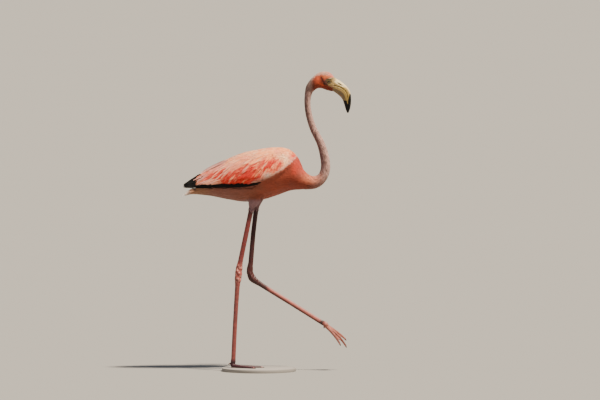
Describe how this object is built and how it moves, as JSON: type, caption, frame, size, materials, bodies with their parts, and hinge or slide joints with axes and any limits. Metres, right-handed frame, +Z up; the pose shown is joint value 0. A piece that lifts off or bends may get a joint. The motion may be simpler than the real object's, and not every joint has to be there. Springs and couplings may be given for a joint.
{
  "type": "american flamingo",
  "caption": "Life-size still model of an American flamingo wading, with a long curved neck, a bent bill, folded wings, a planted leg and a lifted leg.",
  "frame": {"origin": "middle of the underside of the round base, on the floor", "axes": "+X forwards along the bird, +Y towards its left side, +Z up"},
  "size_m": [0.5951, 0.26, 1.0501],
  "materials": {
    "plumage_body": "soft matt feathers, salmon to orange-red with pale pink fringes",
    "plumage_pale": "soft matt feathers, pale pinkish white",
    "plumage_neck": "short velvety feathers, dusty pink with grey-brown mottling",
    "plumage_head": "very short velvety feathers, orange-pink with a grey-white nape",
    "plumage_black": "smooth matt black flight feathers",
    "leg_skin": "scaly skin, dull reddish pink",
    "bill_horn": "satin horn, cream yellow with a black tip",
    "claw_horn": "dark satin horn",
    "stand": "plain matt warm grey",
    "eye": "wet and glossy, dark pupil in a pale ring"
  },
  "bodies": {
    "root": {"stand_base": "stand", "trunk": "plumage_body", "tail": "plumage_pale", "neck_lower": "plumage_neck", "neck_middle": "plumage_neck", "neck_upper": "plumage_neck", "head": "plumage_head", "bill_upper": "bill_horn", "bill_lower": "bill_horn", "eye_right": "eye", "wing_right": "plumage_body", "flight_feathers_right": "plumage_black", "thigh_right": "plumage_pale", "shank_right": "leg_skin", "ankle_right": "leg_skin", "tarsus_right": "leg_skin", "foot_right": "leg_skin", "claw_inner_right": "claw_horn", "claw_middle_right": "claw_horn", "claw_outer_right": "claw_horn", "claw_hind_right": "claw_horn", "eye_left": "eye", "wing_left": "plumage_body", "flight_feathers_left": "plumage_black", "thigh_left": "plumage_pale", "shank_left": "leg_skin", "ankle_left": "leg_skin", "tarsus_left": "leg_skin", "foot_left": "leg_skin", "claw_inner_left": "claw_horn", "claw_middle_left": "claw_horn", "claw_outer_left": "claw_horn", "claw_hind_left": "claw_horn"}
  },
  "joints": []
}
